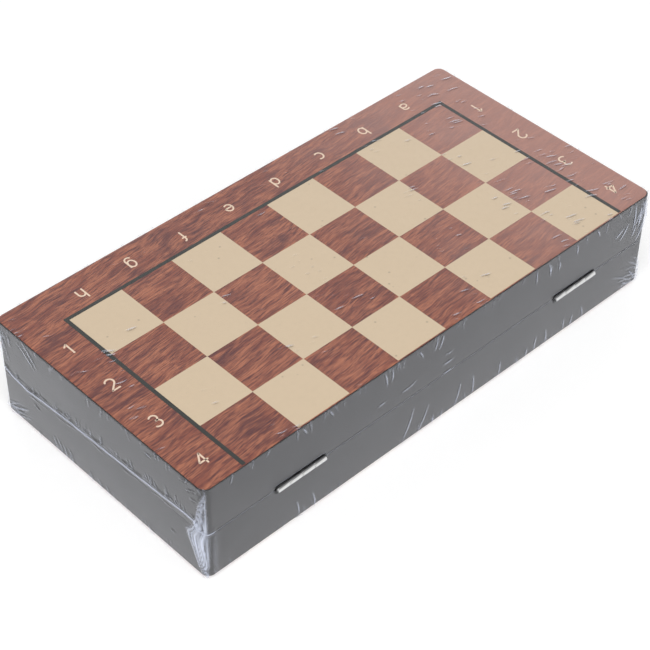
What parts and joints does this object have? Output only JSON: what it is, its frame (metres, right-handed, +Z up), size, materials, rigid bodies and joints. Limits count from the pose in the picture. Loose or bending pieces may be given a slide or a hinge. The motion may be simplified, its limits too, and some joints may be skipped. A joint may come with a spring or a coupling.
{
  "type": "folding chess set",
  "caption": "Folding chess set: two trays hinged into a case, board printed outside, chessmen stored inside, sealed in clear shrink film.",
  "frame": {"origin": "centre of the face that the closed, wrapped case lies on", "axes": "+X along the long side, +Z up, -Y the hinged long side"},
  "size_m": [0.2412, 0.1225, 0.0476],
  "materials": {
    "black_paint": "black satin paint on wood",
    "panel_board": "plain thin board",
    "printed_sheet": "printed red-brown wood grain with cream squares, satin",
    "felt": "short green felt",
    "clear_film": "clear glossy shrink film",
    "nickel_plate": "nickel plated, bright",
    "zinc_plate": "zinc plated",
    "magnet_plate": "nickel plated magnet",
    "light_wood": "clear varnished light wood",
    "dark_wood": "dark stained varnished wood"
  },
  "bodies": {
    "lower_half": {"lower_frame": "black_paint", "lower_panel": "panel_board", "lower_playing_sheet": "printed_sheet", "lower_lining": "felt", "lower_shrink_film": "clear_film", "lower_magnet_left": "magnet_plate", "lower_magnet_right": "magnet_plate", "lower_left_hinge_leaf": "nickel_plate", "lower_left_hinge_screw_1": "zinc_plate", "lower_left_hinge_screw_2": "zinc_plate", "lower_right_hinge_leaf": "nickel_plate", "lower_right_hinge_screw_1": "zinc_plate", "lower_right_hinge_screw_2": "zinc_plate", "left_hinge_pin": "nickel_plate", "right_hinge_pin": "nickel_plate"},
    "upper_half": {"upper_frame": "black_paint", "upper_panel": "panel_board", "upper_playing_sheet": "printed_sheet", "upper_lining": "felt", "upper_shrink_film": "clear_film", "upper_magnet_left": "magnet_plate", "upper_magnet_right": "magnet_plate", "upper_left_hinge_leaf": "nickel_plate", "upper_left_hinge_screw_1": "zinc_plate", "upper_left_hinge_screw_2": "zinc_plate", "upper_right_hinge_leaf": "nickel_plate", "upper_right_hinge_screw_1": "zinc_plate", "upper_right_hinge_screw_2": "zinc_plate"},
    "light_king_body": {"light_king": "light_wood"},
    "light_queen_body": {"light_queen": "light_wood"},
    "light_bishop_1_body": {"light_bishop_1": "light_wood"},
    "light_bishop_2_body": {"light_bishop_2": "light_wood"},
    "light_knight_1_body": {"light_knight_1": "light_wood"},
    "light_knight_2_body": {"light_knight_2": "light_wood"},
    "light_rook_1_body": {"light_rook_1": "light_wood"},
    "light_rook_2_body": {"light_rook_2": "light_wood"},
    "light_pawn_1_body": {"light_pawn_1": "light_wood"},
    "light_pawn_2_body": {"light_pawn_2": "light_wood"},
    "light_pawn_3_body": {"light_pawn_3": "light_wood"},
    "light_pawn_4_body": {"light_pawn_4": "light_wood"},
    "light_pawn_5_body": {"light_pawn_5": "light_wood"},
    "light_pawn_6_body": {"light_pawn_6": "light_wood"},
    "light_pawn_7_body": {"light_pawn_7": "light_wood"},
    "light_pawn_8_body": {"light_pawn_8": "light_wood"},
    "dark_king_body": {"dark_king": "dark_wood"},
    "dark_queen_body": {"dark_queen": "dark_wood"},
    "dark_bishop_1_body": {"dark_bishop_1": "dark_wood"},
    "dark_bishop_2_body": {"dark_bishop_2": "dark_wood"},
    "dark_knight_1_body": {"dark_knight_1": "dark_wood"},
    "dark_knight_2_body": {"dark_knight_2": "dark_wood"},
    "dark_rook_1_body": {"dark_rook_1": "dark_wood"},
    "dark_rook_2_body": {"dark_rook_2": "dark_wood"},
    "dark_pawn_1_body": {"dark_pawn_1": "dark_wood"},
    "dark_pawn_2_body": {"dark_pawn_2": "dark_wood"},
    "dark_pawn_3_body": {"dark_pawn_3": "dark_wood"},
    "dark_pawn_4_body": {"dark_pawn_4": "dark_wood"},
    "dark_pawn_5_body": {"dark_pawn_5": "dark_wood"},
    "dark_pawn_6_body": {"dark_pawn_6": "dark_wood"},
    "dark_pawn_7_body": {"dark_pawn_7": "dark_wood"},
    "dark_pawn_8_body": {"dark_pawn_8": "dark_wood"}
  },
  "joints": [
    {"name": "board_fold", "type": "hinge", "parent": "lower_half", "child": "upper_half", "pos_m": [0, -0.0608, 0.0238], "axis": [1, 0, 0], "range_deg": [0, 180]},
    {"name": "light_king_lift", "type": "slide", "parent": "lower_half", "child": "light_king_body", "axis": [0, 0, 1], "range_m": [0, 0.0185]},
    {"name": "light_queen_lift", "type": "slide", "parent": "lower_half", "child": "light_queen_body", "axis": [0, 0, 1], "range_m": [0, 0.019]},
    {"name": "light_bishop_1_lift", "type": "slide", "parent": "lower_half", "child": "light_bishop_1_body", "axis": [0, 0, 1], "range_m": [0, 0.0199]},
    {"name": "light_bishop_2_lift", "type": "slide", "parent": "lower_half", "child": "light_bishop_2_body", "axis": [0, 0, 1], "range_m": [0, 0.0199]},
    {"name": "light_knight_1_lift", "type": "slide", "parent": "lower_half", "child": "light_knight_1_body", "axis": [0, 0, 1], "range_m": [0, 0.0199]},
    {"name": "light_knight_2_lift", "type": "slide", "parent": "lower_half", "child": "light_knight_2_body", "axis": [0, 0, 1], "range_m": [0, 0.0199]},
    {"name": "light_rook_1_lift", "type": "slide", "parent": "lower_half", "child": "light_rook_1_body", "axis": [0, 0, 1], "range_m": [0, 0.0204]},
    {"name": "light_rook_2_lift", "type": "slide", "parent": "lower_half", "child": "light_rook_2_body", "axis": [0, 0, 1], "range_m": [0, 0.0204]},
    {"name": "light_pawn_1_lift", "type": "slide", "parent": "lower_half", "child": "light_pawn_1_body", "axis": [0, 0, 1], "range_m": [0, 0.0219]},
    {"name": "light_pawn_2_lift", "type": "slide", "parent": "lower_half", "child": "light_pawn_2_body", "axis": [0, 0, 1], "range_m": [0, 0.0219]},
    {"name": "light_pawn_3_lift", "type": "slide", "parent": "lower_half", "child": "light_pawn_3_body", "axis": [0, 0, 1], "range_m": [0, 0.0219]},
    {"name": "light_pawn_4_lift", "type": "slide", "parent": "lower_half", "child": "light_pawn_4_body", "axis": [0, 0, 1], "range_m": [0, 0.0219]},
    {"name": "light_pawn_5_lift", "type": "slide", "parent": "lower_half", "child": "light_pawn_5_body", "axis": [0, 0, 1], "range_m": [0, 0.0219]},
    {"name": "light_pawn_6_lift", "type": "slide", "parent": "lower_half", "child": "light_pawn_6_body", "axis": [0, 0, 1], "range_m": [0, 0.0219]},
    {"name": "light_pawn_7_lift", "type": "slide", "parent": "lower_half", "child": "light_pawn_7_body", "axis": [0, 0, 1], "range_m": [0, 0.0219]},
    {"name": "light_pawn_8_lift", "type": "slide", "parent": "lower_half", "child": "light_pawn_8_body", "axis": [0, 0, 1], "range_m": [0, 0.0219]},
    {"name": "dark_king_lift", "type": "slide", "parent": "lower_half", "child": "dark_king_body", "axis": [0, 0, 1], "range_m": [0, 0.0185]},
    {"name": "dark_queen_lift", "type": "slide", "parent": "lower_half", "child": "dark_queen_body", "axis": [0, 0, 1], "range_m": [0, 0.019]},
    {"name": "dark_bishop_1_lift", "type": "slide", "parent": "lower_half", "child": "dark_bishop_1_body", "axis": [0, 0, 1], "range_m": [0, 0.0199]},
    {"name": "dark_bishop_2_lift", "type": "slide", "parent": "lower_half", "child": "dark_bishop_2_body", "axis": [0, 0, 1], "range_m": [0, 0.0199]},
    {"name": "dark_knight_1_lift", "type": "slide", "parent": "lower_half", "child": "dark_knight_1_body", "axis": [0, 0, 1], "range_m": [0, 0.0199]},
    {"name": "dark_knight_2_lift", "type": "slide", "parent": "lower_half", "child": "dark_knight_2_body", "axis": [0, 0, 1], "range_m": [0, 0.0199]},
    {"name": "dark_rook_1_lift", "type": "slide", "parent": "lower_half", "child": "dark_rook_1_body", "axis": [0, 0, 1], "range_m": [0, 0.0204]},
    {"name": "dark_rook_2_lift", "type": "slide", "parent": "lower_half", "child": "dark_rook_2_body", "axis": [0, 0, 1], "range_m": [0, 0.0204]},
    {"name": "dark_pawn_1_lift", "type": "slide", "parent": "lower_half", "child": "dark_pawn_1_body", "axis": [0, 0, 1], "range_m": [0, 0.0219]},
    {"name": "dark_pawn_2_lift", "type": "slide", "parent": "lower_half", "child": "dark_pawn_2_body", "axis": [0, 0, 1], "range_m": [0, 0.0219]},
    {"name": "dark_pawn_3_lift", "type": "slide", "parent": "lower_half", "child": "dark_pawn_3_body", "axis": [0, 0, 1], "range_m": [0, 0.0219]},
    {"name": "dark_pawn_4_lift", "type": "slide", "parent": "lower_half", "child": "dark_pawn_4_body", "axis": [0, 0, 1], "range_m": [0, 0.0219]},
    {"name": "dark_pawn_5_lift", "type": "slide", "parent": "lower_half", "child": "dark_pawn_5_body", "axis": [0, 0, 1], "range_m": [0, 0.0219]},
    {"name": "dark_pawn_6_lift", "type": "slide", "parent": "lower_half", "child": "dark_pawn_6_body", "axis": [0, 0, 1], "range_m": [0, 0.0219]},
    {"name": "dark_pawn_7_lift", "type": "slide", "parent": "lower_half", "child": "dark_pawn_7_body", "axis": [0, 0, 1], "range_m": [0, 0.0219]},
    {"name": "dark_pawn_8_lift", "type": "slide", "parent": "lower_half", "child": "dark_pawn_8_body", "axis": [0, 0, 1], "range_m": [0, 0.0219]}
  ]
}
